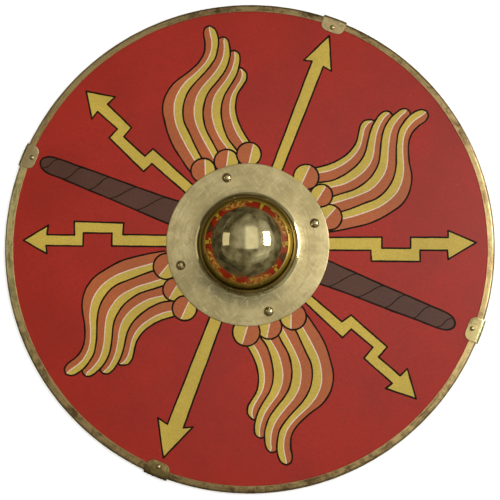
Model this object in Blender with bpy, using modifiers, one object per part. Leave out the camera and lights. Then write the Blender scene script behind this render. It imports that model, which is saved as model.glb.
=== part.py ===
"""Roman round shield, lying face up.

A dished plywood board with a painted face, edged by four brass strips whose joints
are covered by folded clips.  A hollow brass boss covers the hand hole, and a wooden
bar across the back of the hole is the grip.

Metres, +Z up.  The origin is under the middle of the shield, on the floor that the
four clips rest on, and the boss points up.
"""

import math

import bmesh
import bpy
from mathutils import Matrix, Vector

# Clearance between pieces that touch
GAP = 0.0003

# Board
SHIELD_DIAMETER = 0.610
BOARD_THICKNESS = 0.009
BOARD_DISH = 0.015
BOARD_EDGE_ROUND = 0.0015
PLANED_MARGIN = 0.004

# Edging strips, of sheet folded over the board's edge
EDGING_SHEET = 0.0008
EDGING_REACH = 0.0087
EDGING_JOINT = 0.0006

# Clips over the joints of the edging, by their direction from the middle
CLIP_DIRECTIONS = (68.9, 157.8, 248.0, 339.4)
CLIP_SHEET = 0.0008
CLIP_WIDTH = 0.0300
CLIP_CORNER = 0.0090
CLIP_END = 0.0062

# Pins of the clips
PIN_INSET = 0.0029
PIN_HEAD_DIAMETER = 0.0058
PIN_HEAD_HEIGHT = 0.0018
PIN_SHANK_DIAMETER = 0.0022
PIN_SHANK_LENGTH = 0.0068

# Boss
BOSS_SHEET = 0.0015
BOSS_DOME_DIAMETER = 0.109
BOSS_FLANGE_DIAMETER = 0.2005
BOSS_WALL_HEIGHT = 0.021
BOSS_FILLET = 0.0105

# Rivets of the boss
BOSS_RIVET_DIRECTION = 17.4
BOSS_RIVET_COUNT = 4
BOSS_RIVET_INSET = 0.0140
RIVET_HEAD_DIAMETER = 0.0120
RIVET_HEAD_HEIGHT = 0.0036
RIVET_SHANK_DIAMETER = 0.0050
RIVET_TAIL_DIAMETER = 0.0095
RIVET_TAIL_HEIGHT = 0.0014

# Grip
GRIP_END_THICKNESS = 0.0080
GRIP_END_WIDTH = 0.0300
GRIP_END_MARGIN = 0.0160
GRIP_HAND_HEIGHT = 0.0260
GRIP_HAND_WIDTH = 0.0280
GRIP_HAND_CLEARANCE = 0.0030
GRIP_SWELL_LENGTH = 0.0220
GRIP_END_CHAMFER = 0.0020
GRIP_END_SQUARENESS = 5.0
GRIP_HAND_SQUARENESS = 2.2

# Fineness of the round shapes
BOARD_SEGMENTS = 80
BOARD_RINGS = 2
CLIP_SEGMENTS = 4
BOSS_SEGMENTS = 42
DOME_SEGMENTS = 9
DOME_INSIDE_SEGMENTS = 6
FILLET_SEGMENTS = 3
CORNER_SEGMENTS = 2
RIVET_SEGMENTS = 12
PIN_SEGMENTS = 10
CAP_SEGMENTS = 3
CLIP_CORNER_SEGMENTS = 4
GRIP_SECTION_SEGMENTS = 12
GRIP_SWELL_STATIONS = 4
SMOOTH_LIMIT = math.radians(35)

# Sizes that follow
BOARD_RADIUS = SHIELD_DIAMETER / 2 - EDGING_SHEET - GAP
BACK_LEVEL = CLIP_SHEET + GAP + EDGING_SHEET + GAP
STRIP_LIFT = GAP + EDGING_SHEET
CLIP_LIFT = STRIP_LIFT + GAP + CLIP_SHEET
STRIP_INNER = SHIELD_DIAMETER / 2 - EDGING_REACH
PIN_RADIUS = STRIP_INNER - PIN_INSET
CLIP_INNER = PIN_RADIUS - CLIP_END
PLANED_INNER = CLIP_INNER - PLANED_MARGIN
DISH_RADIUS = (BOARD_RADIUS ** 2 + BOARD_DISH ** 2) / (2 * BOARD_DISH)
DOME_RADIUS = BOSS_DOME_DIAMETER / 2
FLANGE_RADIUS = BOSS_FLANGE_DIAMETER / 2
HOLE_RADIUS = DOME_RADIUS - BOSS_SHEET
BOSS_RIVET_RADIUS = FLANGE_RADIUS - BOSS_RIVET_INSET
GRIP_HALF_LENGTH = BOSS_RIVET_RADIUS + GRIP_END_MARGIN
GRIP_SWELL_START = HOLE_RADIUS - GRIP_HAND_CLEARANCE - GRIP_SWELL_LENGTH
FLANGE_LIFT = GAP + BOSS_SHEET
CUT_MARGIN = 0.005

# Colours, as linear red, green and blue
PAINT_RED = (0.26, 0.022, 0.013)
BRASS_PALE = (0.62, 0.53, 0.33)
BRASS_OLD = (0.34, 0.27, 0.14)
GRIP_WOOD = (0.22, 0.12, 0.055)


def face_height(radius):
    """Height of the painted face, a shallow spherical cap, above the floor."""
    drop = math.sqrt(DISH_RADIUS ** 2 - PLANED_INNER ** 2)
    rise = math.sqrt(DISH_RADIUS ** 2 - radius ** 2)
    return BACK_LEVEL + BOARD_THICKNESS + rise - drop


def back_height(radius):
    """Height of the board's back, which is planed flat along the edge."""
    return max(BACK_LEVEL, face_height(radius) - BOARD_THICKNESS)


def face_slope(radius):
    """Angle by which the face leans outwards from level."""
    return math.asin(radius / DISH_RADIUS)


def direction_point(radius, degrees, height=0.0):
    """Point at a distance from the middle, in a direction seen from above."""
    angle = math.radians(degrees)
    return Vector((radius * math.cos(angle), radius * math.sin(angle), height))


def arc(centre_x, centre_z, radius, start, end, segments):
    """Points of an arc in the profile plane, from start to end in degrees."""
    points = []
    for step in range(segments + 1):
        angle = math.radians(start + (end - start) * step / segments)
        points.append((centre_x + radius * math.cos(angle), centre_z + radius * math.sin(angle)))
    return points


def edge_section(lift):
    """The board's rounded edge from face to back, as a line that lies lift outside it."""
    centre = BOARD_RADIUS - BOARD_EDGE_ROUND
    radius = BOARD_EDGE_ROUND + lift
    front = arc(centre, face_height(centre) - BOARD_EDGE_ROUND, radius, 90, 0, CORNER_SEGMENTS)
    back = arc(centre, BACK_LEVEL + BOARD_EDGE_ROUND, radius, 0, -90, CORNER_SEGMENTS)
    return front + back


def clear_scene():
    for item in list(bpy.data.objects):
        bpy.data.objects.remove(item)


def make_collection(name):
    collection = bpy.data.collections.new(name)
    bpy.context.scene.collection.children.link(collection)
    return collection


def make_material(name, colour, roughness, metallic):
    material = bpy.data.materials.new(name)
    material.use_nodes = True
    shader = material.node_tree.nodes["Principled BSDF"]
    shader.inputs["Base Color"].default_value = (*colour, 1.0)
    shader.inputs["Roughness"].default_value = roughness
    shader.inputs["Metallic"].default_value = metallic
    return material


def add_object(name, mesh, collection, material=None):
    item = bpy.data.objects.new(name, mesh)
    collection.objects.link(item)
    if material:
        mesh.materials.append(material)
    return item


def profile_mesh(name, points, closed):
    """A line of edges in the XZ plane, for a Screw modifier to turn about Z."""
    mesh = bpy.data.meshes.new(name)
    edges = [(i, i + 1) for i in range(len(points) - 1)]
    if closed:
        edges.append((len(points) - 1, 0))
    mesh.from_pydata([(x, 0.0, z) for x, z in points], edges, [])
    return mesh


def add_screw(item, segments, degrees=360.0):
    screw = item.modifiers.new("Turn", "SCREW")
    screw.angle = math.radians(degrees)
    screw.steps = segments
    screw.render_steps = segments
    screw.use_merge_vertices = degrees == 360.0
    screw.merge_threshold = 0.00001
    screw.use_smooth_shade = True


def bake_modifiers(item):
    """Turns an object's evaluated shape into its own mesh, shaded smooth."""
    graph = bpy.context.evaluated_depsgraph_get()
    mesh = bpy.data.meshes.new_from_object(item.evaluated_get(graph))
    old = item.data
    item.modifiers.clear()
    item.data = mesh
    mesh.name = item.name
    bpy.data.meshes.remove(old)
    mesh.shade_smooth()
    mesh.set_sharp_from_angle(angle=SMOOTH_LIMIT)


def make_cutter(name, mesh, collection, location=(0, 0, 0), rotation=(0, 0, 0)):
    cutter = add_object(name, mesh, collection)
    cutter.location = location
    cutter.rotation_euler = rotation
    cutter.hide_render = True
    cutter.display_type = "WIRE"
    return cutter


def cylinder_mesh(name, radius, bottom, top, segments):
    mesh = bpy.data.meshes.new(name)
    shape = bmesh.new()
    bmesh.ops.create_cone(shape, cap_ends=True, segments=segments, radius1=radius, radius2=radius,
                          depth=top - bottom)
    bmesh.ops.translate(shape, vec=(0, 0, (top + bottom) / 2), verts=shape.verts)
    shape.to_mesh(mesh)
    shape.free()
    return mesh


def cut(item, cutter, operation="DIFFERENCE"):
    boolean = item.modifiers.new(cutter.name, "BOOLEAN")
    boolean.operation = operation
    boolean.solver = "EXACT"
    boolean.object = cutter


def boss_rivet_directions():
    step = 360.0 / BOSS_RIVET_COUNT
    return [BOSS_RIVET_DIRECTION + step * index for index in range(BOSS_RIVET_COUNT)]


def holds_grip(index):
    """The first rivet and the one across from it also go through the grip."""
    return index % (BOSS_RIVET_COUNT // 2) == 0


def boss_rivet_pose(degrees):
    """Place and lean of a rivet: on the flange's upper side, square to it."""
    slope = face_slope(BOSS_RIVET_RADIUS)
    foot = direction_point(BOSS_RIVET_RADIUS, degrees, face_height(BOSS_RIVET_RADIUS) + FLANGE_LIFT)
    return foot, (0, slope, math.radians(degrees))


def clip_tab_line():
    """Upper side of a clip's front tab: its inner end on the board, its outer end over the edging."""
    inner = (CLIP_INNER, face_height(CLIP_INNER) + GAP + CLIP_SHEET)
    outer = (STRIP_INNER, face_height(STRIP_INNER) + CLIP_LIFT)
    return inner, outer


def pin_pose(degrees):
    """Place and lean of a pin: on the tab's upper side, square to it."""
    inner, outer = clip_tab_line()
    share = (PIN_RADIUS - inner[0]) / (outer[0] - inner[0])
    height = inner[1] + (outer[1] - inner[1]) * share
    slope = math.atan2(inner[1] - outer[1], outer[0] - inner[0])
    return direction_point(PIN_RADIUS, degrees, height), (0, slope, math.radians(degrees))


def make_board(parts, cutters, material):
    """The dished board: a turned ring with holes for the rivets and the pins."""
    rings = [HOLE_RADIUS]
    for ring in range(BOARD_RINGS):
        rings.append(FLANGE_RADIUS + (PLANED_INNER - FLANGE_RADIUS) * ring / BOARD_RINGS)
    face = [(radius, face_height(radius)) for radius in rings]
    back = [(radius, back_height(radius)) for radius in rings + [PLANED_INNER]]
    profile = face + edge_section(0.0) + back[::-1]
    board = add_object("board", profile_mesh("board", profile, True), parts, material)
    add_screw(board, BOARD_SEGMENTS)
    depth = FLANGE_LIFT + BOARD_THICKNESS + CUT_MARGIN
    for index, degrees in enumerate(boss_rivet_directions()):
        mesh = cylinder_mesh("rivet hole", RIVET_SHANK_DIAMETER / 2 + GAP, -depth, CUT_MARGIN, RIVET_SEGMENTS)
        cut(board, make_cutter(f"board rivet hole {index + 1}", mesh, cutters, *boss_rivet_pose(degrees)))
    for index, degrees in enumerate(CLIP_DIRECTIONS):
        depth = PIN_SHANK_LENGTH + GAP
        mesh = cylinder_mesh("pin hole", PIN_SHANK_DIAMETER / 2 + GAP, -depth, CUT_MARGIN, PIN_SEGMENTS)
        cut(board, make_cutter(f"board pin hole {index + 1}", mesh, cutters, *pin_pose(degrees)))
    bake_modifiers(board)


def boss_side(lift, dome_radius, fillet, dome_segments):
    """One side of the boss's sheet, from the top of the dome to the rim of the flange."""
    base = face_height(dome_radius) + lift
    centre = face_height(DOME_RADIUS) + FLANGE_LIFT + BOSS_WALL_HEIGHT
    dome = arc(0.0, centre, dome_radius, 90, 0, dome_segments)
    bend = arc(dome_radius + fillet, base + fillet, fillet, 180, 270, FILLET_SEGMENTS)
    return dome + bend + [(FLANGE_RADIUS, face_height(FLANGE_RADIUS) + lift)]


def make_boss(parts, cutters, material):
    """The hollow boss: dome, upright wall, fillet and a flange that follows the board."""
    outside = boss_side(FLANGE_LIFT, DOME_RADIUS, BOSS_FILLET, DOME_SEGMENTS)
    inside = boss_side(GAP, HOLE_RADIUS, BOSS_FILLET + BOSS_SHEET, DOME_INSIDE_SEGMENTS)
    boss = add_object("boss", profile_mesh("boss", outside + inside[::-1], False), parts, material)
    add_screw(boss, BOSS_SEGMENTS)
    for index, degrees in enumerate(boss_rivet_directions()):
        mesh = cylinder_mesh("flange hole", RIVET_SHANK_DIAMETER / 2 + GAP, -CUT_MARGIN, CUT_MARGIN,
                             RIVET_SEGMENTS)
        cut(boss, make_cutter(f"flange hole {index + 1}", mesh, cutters, *boss_rivet_pose(degrees)))
    bake_modifiers(boss)


def domed_head(diameter, height):
    """Profile of a domed head from its top down to its rim, sitting a gap above its seat."""
    half = diameter / 2
    radius = (half ** 2 + height ** 2) / (2 * height)
    rim = math.degrees(math.asin((radius - height) / radius))
    return arc(0.0, GAP + height - radius, radius, 90, rim, CAP_SEGMENTS)


def make_boss_rivets(parts, material):
    """Domed rivets with a flat tail behind the board, or behind the grip."""
    shank = RIVET_SHANK_DIAMETER / 2
    tail = RIVET_TAIL_DIAMETER / 2
    for index, degrees in enumerate(boss_rivet_directions()):
        stack = FLANGE_LIFT + BOARD_THICKNESS + GAP
        if holds_grip(index):
            stack += GRIP_END_THICKNESS + GAP
        profile = domed_head(RIVET_HEAD_DIAMETER, RIVET_HEAD_HEIGHT)
        profile += [(shank, GAP), (shank, -stack), (tail, -stack), (tail, -stack - RIVET_TAIL_HEIGHT)]
        profile.append((0.0, -stack - RIVET_TAIL_HEIGHT))
        name = f"boss_rivet_{index + 1}"
        rivet = add_object(name, profile_mesh(name, profile, False), parts, material)
        add_screw(rivet, RIVET_SEGMENTS)
        bake_modifiers(rivet)
        rivet.location, rivet.rotation_euler = boss_rivet_pose(degrees)


def make_rim_strips(parts, material):
    """Four U-shaped strips, each from one clip's direction to the next."""
    section = edge_section(STRIP_LIFT)
    front = (STRIP_INNER, face_height(STRIP_INNER) + STRIP_LIFT)
    back = (STRIP_INNER, BACK_LEVEL - STRIP_LIFT)
    half_joint = math.degrees(EDGING_JOINT / 2 / BOARD_RADIUS)
    for index, start in enumerate(CLIP_DIRECTIONS):
        following = CLIP_DIRECTIONS[(index + 1) % len(CLIP_DIRECTIONS)]
        span = (following - start) % 360.0 - 2 * half_joint
        name = f"rim_strip_{index + 1}"
        strip = add_object(name, profile_mesh(name, [front] + section + [back], False), parts, material)
        add_screw(strip, round(BOARD_SEGMENTS * span / 360.0), span)
        add_sheet(strip, EDGING_SHEET)
        bake_modifiers(strip)
        strip.rotation_euler = (0, 0, math.radians(start + half_joint))


def add_sheet(item, thickness):
    """Gives a turned surface the thickness of its sheet, on the side towards the board."""
    sheet = item.modifiers.new("Sheet", "SOLIDIFY")
    sheet.thickness = thickness
    sheet.offset = -1.0
    sheet.use_even_offset = True


def clip_outline_mesh():
    """Block with the clip's outline seen from above: round inner corners, open outside."""
    mesh = bpy.data.meshes.new("clip outline")
    shape = bmesh.new()
    bmesh.ops.create_cube(shape, size=1.0)
    outer = SHIELD_DIAMETER / 2 + CLIP_LIFT + CUT_MARGIN
    height = face_height(CLIP_INNER) + CUT_MARGIN
    size = Matrix.Diagonal((outer - CLIP_INNER, CLIP_WIDTH, 2 * height, 1.0))
    bmesh.ops.transform(shape, matrix=size, verts=shape.verts)
    bmesh.ops.translate(shape, vec=((outer + CLIP_INNER) / 2, 0, height / 2), verts=shape.verts)
    corners = [edge for edge in shape.edges if all(vert.co.x < outer - CUT_MARGIN for vert in edge.verts)
               and abs(edge.verts[0].co.z - edge.verts[1].co.z) > height]
    bmesh.ops.bevel(shape, geom=corners, offset=CLIP_CORNER, segments=CLIP_CORNER_SEGMENTS, profile=0.5,
                    affect="EDGES")
    shape.to_mesh(mesh)
    shape.free()
    return mesh


def make_rim_clips(parts, cutters, material):
    """Clips of sheet folded over the edging, held by one pin through the front tab."""
    inner, outer = clip_tab_line()
    back = (CLIP_INNER, BACK_LEVEL - CLIP_LIFT)
    section = [inner, outer] + edge_section(CLIP_LIFT) + [back]
    half_span = math.degrees(math.asin((CLIP_WIDTH / 2 + CUT_MARGIN) / CLIP_INNER))
    for index, degrees in enumerate(CLIP_DIRECTIONS):
        name = f"rim_clip_{index + 1}"
        clip = add_object(name, profile_mesh(name, section, False), parts, material)
        clip.rotation_euler = (0, 0, math.radians(degrees - half_span))
        add_screw(clip, CLIP_SEGMENTS, 2 * half_span)
        add_sheet(clip, CLIP_SHEET)
        turned = (0, 0, math.radians(degrees))
        cut(clip, make_cutter(f"clip outline {index + 1}", clip_outline_mesh(), cutters, (0, 0, 0), turned),
            "INTERSECT")
        mesh = cylinder_mesh("tab hole", PIN_SHANK_DIAMETER / 2 + GAP, -PIN_SHANK_LENGTH, CUT_MARGIN,
                             PIN_SEGMENTS)
        cut(clip, make_cutter(f"tab hole {index + 1}", mesh, cutters, *pin_pose(degrees)))
        bake_modifiers(clip)


def make_clip_pins(parts, material):
    """Round-headed pins driven through the clips into the board."""
    shank = PIN_SHANK_DIAMETER / 2
    for index, degrees in enumerate(CLIP_DIRECTIONS):
        profile = domed_head(PIN_HEAD_DIAMETER, PIN_HEAD_HEIGHT)
        profile += [(shank, GAP), (shank, -PIN_SHANK_LENGTH), (0.0, -PIN_SHANK_LENGTH)]
        name = f"clip_pin_{index + 1}"
        pin = add_object(name, profile_mesh(name, profile, False), parts, material)
        add_screw(pin, PIN_SEGMENTS)
        bake_modifiers(pin)
        pin.location, pin.rotation_euler = pin_pose(degrees)


def grip_stations():
    """Distances from the middle of the grip at which its section is drawn."""
    half = [GRIP_SWELL_START / 2]
    for step in range(GRIP_SWELL_STATIONS + 1):
        half.append(GRIP_SWELL_START + GRIP_SWELL_LENGTH * step / GRIP_SWELL_STATIONS)
    half += [HOLE_RADIUS, GRIP_HALF_LENGTH - GRIP_END_CHAMFER, GRIP_HALF_LENGTH]
    return [-along for along in half[::-1]] + half


def grip_section(along):
    """Bottom, height, width and squareness of the grip's section, at a distance from its middle."""
    seat = back_height(max(abs(along), HOLE_RADIUS)) - GAP
    bottom = seat - GRIP_END_THICKNESS
    share = min(max((abs(along) - GRIP_SWELL_START) / GRIP_SWELL_LENGTH, 0.0), 1.0)
    share = share * share * (3 - 2 * share)
    height = GRIP_END_THICKNESS * share + GRIP_HAND_HEIGHT * (1 - share)
    width = GRIP_END_WIDTH * share + GRIP_HAND_WIDTH * (1 - share)
    if abs(along) == GRIP_HALF_LENGTH:
        bottom += GRIP_END_CHAMFER
        height -= 2 * GRIP_END_CHAMFER
        width -= 2 * GRIP_END_CHAMFER
    squareness = GRIP_END_SQUARENESS * share + GRIP_HAND_SQUARENESS * (1 - share)
    return bottom, height, width, squareness


def make_grip(parts, cutters, material):
    """Wooden bar with flat ends behind the board and a rounded middle for the hand."""
    shape = bmesh.new()
    rings = []
    for along in grip_stations():
        bottom, height, width, squareness = grip_section(along)
        ring = []
        for step in range(GRIP_SECTION_SEGMENTS):
            angle = math.tau * (step + 0.5) / GRIP_SECTION_SEGMENTS
            across = math.copysign(abs(math.cos(angle)) ** (2 / squareness), math.cos(angle))
            up = math.copysign(abs(math.sin(angle)) ** (2 / squareness), math.sin(angle))
            ring.append(shape.verts.new((along, across * width / 2, bottom + (1 + up) * height / 2)))
        rings.append(ring)
    for one, two in zip(rings, rings[1:]):
        for step in range(GRIP_SECTION_SEGMENTS):
            after = (step + 1) % GRIP_SECTION_SEGMENTS
            shape.faces.new((one[step], one[after], two[after], two[step]))
    shape.faces.new(rings[0][::-1])
    shape.faces.new(rings[-1])
    bmesh.ops.recalc_face_normals(shape, faces=shape.faces)
    mesh = bpy.data.meshes.new("grip")
    shape.to_mesh(mesh)
    shape.free()
    grip = add_object("grip", mesh, parts, material)
    grip.rotation_euler = (0, 0, math.radians(BOSS_RIVET_DIRECTION))
    depth = FLANGE_LIFT + BOARD_THICKNESS + GRIP_END_THICKNESS + CUT_MARGIN
    for index, degrees in enumerate(boss_rivet_directions()):
        if holds_grip(index):
            hole = cylinder_mesh("grip hole", RIVET_SHANK_DIAMETER / 2 + GAP, -depth, 0, RIVET_SEGMENTS)
            cut(grip, make_cutter(f"grip hole {index + 1}", hole, cutters, *boss_rivet_pose(degrees)))
    bake_modifiers(grip)


def main():
    clear_scene()
    parts = make_collection("Round shield")
    cutters = make_collection("Cutters")
    red_paint = make_material("red paint", PAINT_RED, 0.45, 0.0)
    pale_brass = make_material("pale brass", BRASS_PALE, 0.3, 1.0)
    old_brass = make_material("old brass", BRASS_OLD, 0.4, 1.0)
    wood = make_material("grip wood", GRIP_WOOD, 0.6, 0.0)
    make_board(parts, cutters, red_paint)
    make_boss(parts, cutters, pale_brass)
    make_boss_rivets(parts, old_brass)
    make_rim_strips(parts, old_brass)
    make_rim_clips(parts, cutters, old_brass)
    make_clip_pins(parts, old_brass)
    make_grip(parts, cutters, wood)


main()
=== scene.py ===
"""Roman round shield, dressed and lit for its picture.

Metres, +Z up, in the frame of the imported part.  The painted design is drawn in
millimetres from its own centre, x to the right and y up.
"""
import math

import bmesh
import bpy
import numpy as np
from mathutils import Matrix, Vector, noise
from mathutils.geometry import delaunay_2d_cdt


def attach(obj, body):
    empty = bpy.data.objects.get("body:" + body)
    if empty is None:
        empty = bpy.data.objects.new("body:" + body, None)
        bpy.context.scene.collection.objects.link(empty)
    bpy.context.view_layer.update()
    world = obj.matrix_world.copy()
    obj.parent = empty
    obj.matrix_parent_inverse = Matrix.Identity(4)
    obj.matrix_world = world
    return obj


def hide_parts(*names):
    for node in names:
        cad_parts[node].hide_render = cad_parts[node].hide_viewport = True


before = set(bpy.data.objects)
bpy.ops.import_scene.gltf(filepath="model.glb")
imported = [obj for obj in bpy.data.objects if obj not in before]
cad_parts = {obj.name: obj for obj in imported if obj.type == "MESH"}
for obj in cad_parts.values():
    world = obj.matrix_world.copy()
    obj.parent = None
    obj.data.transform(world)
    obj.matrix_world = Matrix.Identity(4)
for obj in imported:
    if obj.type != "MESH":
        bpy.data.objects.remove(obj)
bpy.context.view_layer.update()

BODY = "root"
MM = 0.001

# The part's own sizes
GAP = 0.0003
SHIELD_RADIUS = 0.305
BOARD_THICKNESS = 0.009
BOARD_DISH = 0.015
BOARD_EDGE_ROUND = 0.0026
SHEET = 0.0008
STRIP_INNER = SHIELD_RADIUS - 0.0087
PIN_RADIUS = STRIP_INNER - 0.0029
CLIP_INNER = PIN_RADIUS - 0.0062
PLANED_INNER = CLIP_INNER - 0.004
CLIP_DIRECTIONS = (68.9, 157.8, 248.0, 339.4)
STRIP_REACHES = (0.0010, 0.0025, 0.0012, 0.0009)
CLIP_SLACK = 0.0011
CLIP_HALF_WIDTH = 0.0150
CLIP_CORNER = 0.0090
BOSS_SHEET = 0.0015
DOME_RADIUS = 0.0545
FLANGE_RADIUS = 0.10025
BOSS_WALL_HEIGHT = 0.021
WALL_RADIUS = 0.0556
DOME_CURVE = 0.0539
SHOULDER_DROP = 0.0016
BOSS_FILLET = 0.0105
RIVET_RADIUS = FLANGE_RADIUS - 0.0140
RIVET_DIRECTIONS = (17.4, 107.4, 197.4, 287.4)
GRIP_DIRECTION = 17.4
GRIP_END_THICKNESS = 0.008
GRIP_SWELL_START = 0.028
GRIP_HALF_LENGTH = RIVET_RADIUS + 0.016
GRIP_END_ROUND = 0.002

# How steeply the boss's foot falls, in degrees, at distances from the axis
FOOT_SLOPES = ((0.0628, 26.5), (0.0645, 19.0), (0.0665, 12.0), (0.0690, 7.5), (0.0720, 4.5), (0.0760, 2.6))

# Sizes that follow
BOARD_RADIUS = SHIELD_RADIUS - SHEET - GAP
BACK_LEVEL = 2 * (SHEET + GAP)
STRIP_LIFT = GAP + SHEET
CLIP_LIFT = 2 * STRIP_LIFT
DISH_RADIUS = (BOARD_RADIUS ** 2 + BOARD_DISH ** 2) / (2 * BOARD_DISH)
HOLE_RADIUS = DOME_RADIUS - BOSS_SHEET
FLANGE_LIFT = GAP + BOSS_SHEET
FACE_RADIUS = BOARD_RADIUS - BOARD_EDGE_ROUND

# Painted design: its centre from the shield's middle, and its lines, in millimetres
DESIGN_CENTRE = (-0.8, 3.5)
OUTLINE = 1.12
SPIRAL_LINE = 0.63
PALE_LINE = 0.68
WOBBLE = 0.28
UNDER_FLANGE = 14.0
WING_AXIS = 68.0

# Each arrow runs from the boss along one side to its tip and back along the other
LONG_ARROWS = (
    ((31.1, 93.8), (80.9, 227.0), (70.6, 227.9), (102.8, 260.1), (105.1, 214.1), (95.2, 219.8), (44.0, 89.3)),
    ((31.2, 99.9), (78.3, 228.1), (66.6, 227.1), (103.2, 265.1), (109.9, 215.9), (98.1, 223.7),
     (46.8, 95.1)),
)
STEPPED_ARROWS = (
    ((-100.2, 8.2), (-153.9, 9.2), (-153.2, 23.7), (-215.5, 26.1), (-214.8, 9.2), (-249.9, 9.9),
     (-248.5, 21.7), (-280.2, 3.0), (-249.7, -14.1), (-250.9, -3.7), (-203.9, -4.7), (-203.5, 11.7),
     (-167.4, 11.0), (-167.9, -4.9), (-100.2, -6.0)),
    ((-100.8, 11.0), (-151.7, 11.0), (-152.6, 24.3), (-212.5, 24.7), (-212.6, 10.8), (-246.2, 10.7),
     (-247.1, 22.0), (-282.1, 1.0), (-247.5, -13.8), (-247.4, -5.2), (-201.0, -5.4), (-200.8, 8.3),
     (-165.4, 8.4), (-165.5, -5.3), (-101.1, -4.9)),
)
ZIGZAG_ARROWS = (
    ((-68.2, 71.3), (-117.2, 116.5), (-127.3, 107.2), (-154.1, 132.0), (-144.7, 143.4), (-175.6, 174.1),
     (-166.2, 183.2), (-203.3, 191.2), (-195.3, 155.5), (-188.1, 165.1), (-162.6, 141.9), (-172.8, 131.1),
     (-128.8, 87.7), (-118.6, 97.6), (-77.9, 61.9)),
    ((-71.1, 75.2), (-116.5, 117.8), (-127.5, 107.4), (-153.4, 129.6), (-142.6, 142.7), (-177.1, 173.5),
     (-169.2, 179.7), (-206.4, 192.4), (-195.7, 155.5), (-187.0, 164.2), (-160.5, 141.4), (-171.4, 129.2),
     (-127.1, 90.2), (-115.9, 98.4), (-80.0, 67.7)),
)
BOLT = (
    (-85.5, 50.7), (-99.7, 55.3), (-136.8, 68.5), (-169.6, 81.0), (-209.1, 95.5), (-229.3, 103.2),
    (-240.5, 107.0), (-248.2, 108.3), (-255.7, 106.1), (-258.7, 101.4), (-256.7, 94.3), (-249.9, 88.2),
    (-229.9, 79.7), (-198.2, 65.9), (-170.9, 54.4), (-138.1, 40.1), (-105.4, 25.7), (-98.3, 22.7),
)
BOLT_SPIRALS = (
    ((-235.1, 104.5), (-256.0, 94.1)), ((-204.0, 93.8), (-229.2, 79.6)), ((-169.6, 81.0), (-197.9, 65.7)),
    ((-135.3, 67.9), (-170.8, 54.4)), ((-99.7, 55.0), (-136.8, 39.9)),
)

# Edges of a wing's four feathers, outermost first, from root to tip: across and along its axis
FEATHER_EDGES = (
    ((89.2, 48.6), (95.2, 52.0), (110.1, 61.5), (134.1, 79.4), (151.1, 99.4), (160.2, 114.4), (163.3, 131.4),
     (159.9, 149.4), (148.5, 169.4), (141.1, 186.4), (139.5, 200.5), (143.3, 212.6), (149.9, 223.8),
     (150.6, 230.9), (146.5, 235.5)),
    ((81.3, 66.4), (91.7, 75.4), (102.2, 84.3), (118.2, 99.3), (128.6, 109.3), (134.5, 119.3), (137.5, 129.3),
     (138.8, 139.3), (137.9, 149.3), (135.2, 159.3), (131.5, 169.3), (127.8, 179.3), (125.0, 189.3),
     (123.4, 199.4), (124.9, 209.5), (127.8, 219.6), (133.9, 229.8), (139.9, 234.7), (146.5, 235.5)),
    ((67.4, 82.8), (76.9, 90.7), (86.3, 98.7), (98.8, 109.2), (106.3, 119.2), (111.5, 129.2), (114.1, 139.2),
     (115.0, 149.2), (113.6, 159.2), (110.6, 169.2), (107.8, 179.2), (105.8, 189.2), (105.8, 199.3),
     (107.7, 209.4), (112.4, 219.5), (117.3, 226.1), (122.1, 228.3), (126.8, 227.0), (129.5, 223.7)),
    ((45.9, 95.2), (57.5, 102.1), (69.1, 109.1), (78.9, 119.1), (85.8, 129.1), (90.9, 139.1), (93.8, 149.1),
     (94.5, 159.1), (93.1, 169.1), (91.4, 179.1), (90.6, 189.1), (91.5, 199.2), (94.1, 209.3), (98.2, 215.4),
     (103.7, 216.9), (107.7, 215.4), (109.7, 212.9)),
    ((36.2, 110.6), (43.1, 115.5), (50.1, 120.5), (60.5, 129.0), (69.3, 139.0), (75.5, 149.0), (78.7, 159.0),
     (79.5, 167.0), (77.6, 179.1), (76.6, 187.1), (79.2, 194.6), (85.2, 198.4), (90.1, 199.0), (91.6, 197.8)),
)
FEATHER_SPLITS = ((0.40, 0.47, 0.50), (0.38, 0.47, 0.50), (0.38, 0.54, 0.50), (0.36, 0.40, 0.46))

# The three round scallops at the root of each wing: middle, radius, and ends of the split line
SCALLOPS = (
    ((38.1, 100.6, 15.1, (37.9, 114.8), (34.3, 93.3)), (60.6, 82.1, 15.2, (63.2, 95.5), (58.6, 78.6)),
     (83.0, 60.8, 15.3, (86.0, 73.8), (81.0, 62.8))),
    ((38.2, 101.5, 15.8, (37.4, 115.9), (36.5, 93.6)), (64.2, 87.1, 13.9, (64.7, 98.5), (61.7, 80.6)),
     (83.0, 65.7, 15.8, (86.0, 78.1), (80.0, 62.2))),
    ((41.1, 103.6, 16.8, (41.6, 118.0), (40.1, 98.1)), (64.4, 86.8, 15.4, (66.8, 100.2), (63.9, 83.3)),
     (87.1, 64.5, 16.1, (89.6, 78.4), (83.6, 61.5))),
    ((40.1, 105.0, 15.1, (39.3, 117.9), (38.3, 99.0)), (60.6, 88.6, 14.1, (62.1, 101.0), (59.6, 85.1)),
     (80.5, 65.7, 16.1, (84.0, 78.6), (80.0, 66.2))),
)
# Each wing's side along and across the axis, and how far it is shifted along and across
WINGS = ((1, 1, 0.7, 0.5), (1, -1, -0.3, -0.7), (-1, -1, -0.2, -0.4), (-1, 1, -0.3, 0.5))

# Paints, as they are listed on the board's mesh
RED, OCHRE, ORANGE, PALE, BROWN, BLACK, BARE = range(7)

# The camera looks down on this point, from a distance in a direction
AIM = (0.0028, -0.0070)
CAMERA_DIRECTION = (0.0298, -0.0684, 0.9972)
CAMERA_DISTANCE = 1.25
CAMERA_LENS = 73.29

# Fineness: steps round a ring or along a piece, and millimetres along the design's lines
RING_STEPS = 256
SMOOTH_STEP = 2.0
STRAIGHT_STEP = 4.0
BOSS_STEPS = 160
STRIP_STEPS = 72
CLIP_STEPS = 16
GRIP_STEPS = 40


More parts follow.
